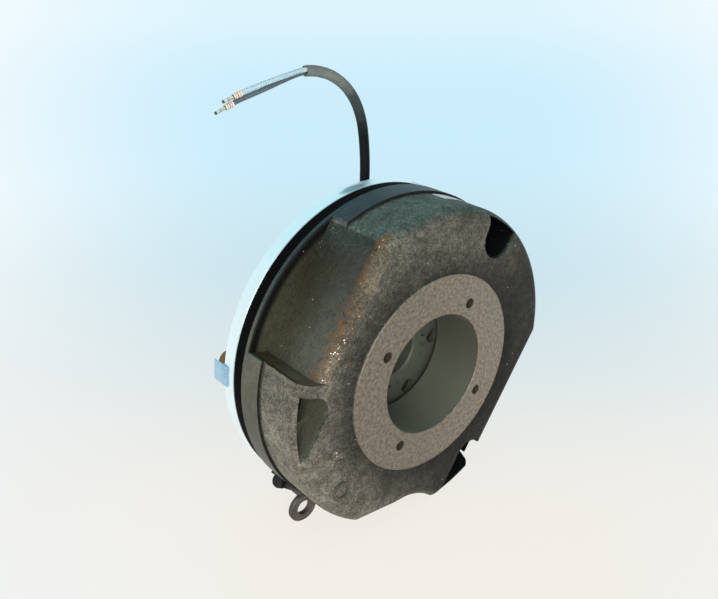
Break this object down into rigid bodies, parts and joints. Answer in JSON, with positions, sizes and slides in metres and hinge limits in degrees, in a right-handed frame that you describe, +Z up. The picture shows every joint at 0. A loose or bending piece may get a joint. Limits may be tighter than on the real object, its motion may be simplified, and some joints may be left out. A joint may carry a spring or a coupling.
{
  "type": "spring-applied electromagnetic brake unit",
  "caption": "Round cast-iron brake unit: a machined mounting pad in front, a sprung friction rotor inside, a magnet body with a cable behind and a hand-release eye below.",
  "frame": {"origin": "centre of the machined pad's front face, where the unit bolts to a machine", "axes": "-Y out of the pad along the shaft axis, +Y towards the magnet body at the back, +Z up the way the cable stands, +X to the right seen from the front"},
  "size_m": [0.2121, 0.1061, 0.281],
  "materials": {
    "cast_iron": "rough grey casting, oiled, with a turned pad and rim",
    "black_rubber": "matt black rubber",
    "bright_steel": "turned and zinc plated",
    "coil_plastic": "moulded",
    "copper_wire": "enamelled copper winding",
    "plain_steel": "machined",
    "spring_steel": "drawn wire",
    "friction_lining": "pressed friction material",
    "black_steel": "blackened steel",
    "bronze": "dull bronze sheet",
    "zinc_plate": "blue zinc plate",
    "rough_steel": "dark forged steel",
    "grey_pvc": "smooth grey cable sheath",
    "pale_pvc": "pale blue wire insulation",
    "dark_pvc": "dark grey wire insulation",
    "ferrule_plastic": "cream sleeve over a crimped pin"
  },
  "bodies": {
    "stator": {"brake_housing": "cast_iron", "seal_band": "black_rubber", "magnet_ring": "bright_steel", "magnet_pot": "plain_steel", "coil_former": "coil_plastic", "coil_winding": "copper_wire", "brake_springs": "spring_steel", "guide_pins": "plain_steel", "socket_screws": "black_steel", "spacer_sleeves": "bright_steel", "tab_washers": "zinc_plate", "hex_nuts": "bronze", "lever_bracket": "black_steel", "bracket_screws": "zinc_plate", "hinge_pin": "bright_steel", "hinge_clip": "spring_steel", "cable_gland": "black_rubber", "cable_sheath": "grey_pvc", "pale_wire": "pale_pvc", "dark_wire": "dark_pvc", "pale_ferrule": "ferrule_plastic", "dark_ferrule": "ferrule_plastic"},
    "armature": {"armature_plate": "plain_steel"},
    "hub": {"driver_hub": "plain_steel"},
    "rotor": {"rotor_carrier": "plain_steel", "front_lining": "friction_lining", "rear_lining": "friction_lining"},
    "lever": {"release_lever": "rough_steel"}
  },
  "joints": [
    {"name": "armature_slide", "type": "slide", "parent": "stator", "child": "armature", "axis": [0, 1, 0], "range_m": [0, 0.0005], "stiffness_N_per_m": 2000, "springref_m": -0.001, "deforming": ["brake_springs"]},
    {"name": "hub_spin", "type": "hinge", "parent": "stator", "child": "hub", "pos_m": [0, 0.052, 0], "axis": [0, 1, 0], "continuous": true},
    {"name": "rotor_float", "type": "slide", "parent": "hub", "child": "rotor", "axis": [0, 1, 0], "range_m": [0, 0.00026]},
    {"name": "release_lever_hinge", "type": "hinge", "parent": "stator", "child": "lever", "pos_m": [-0.06524, 0.0659, -0.0898], "axis": [-0.809, 0, 0.5878], "range_deg": [0, 5.3]}
  ],
  "couplings": [
    {"joint": "rotor_float", "follows": "armature_slide", "ratio": 0.5},
    {"joint": "release_lever_hinge", "follows": "armature_slide", "rad_per_m": 181.8}
  ]
}
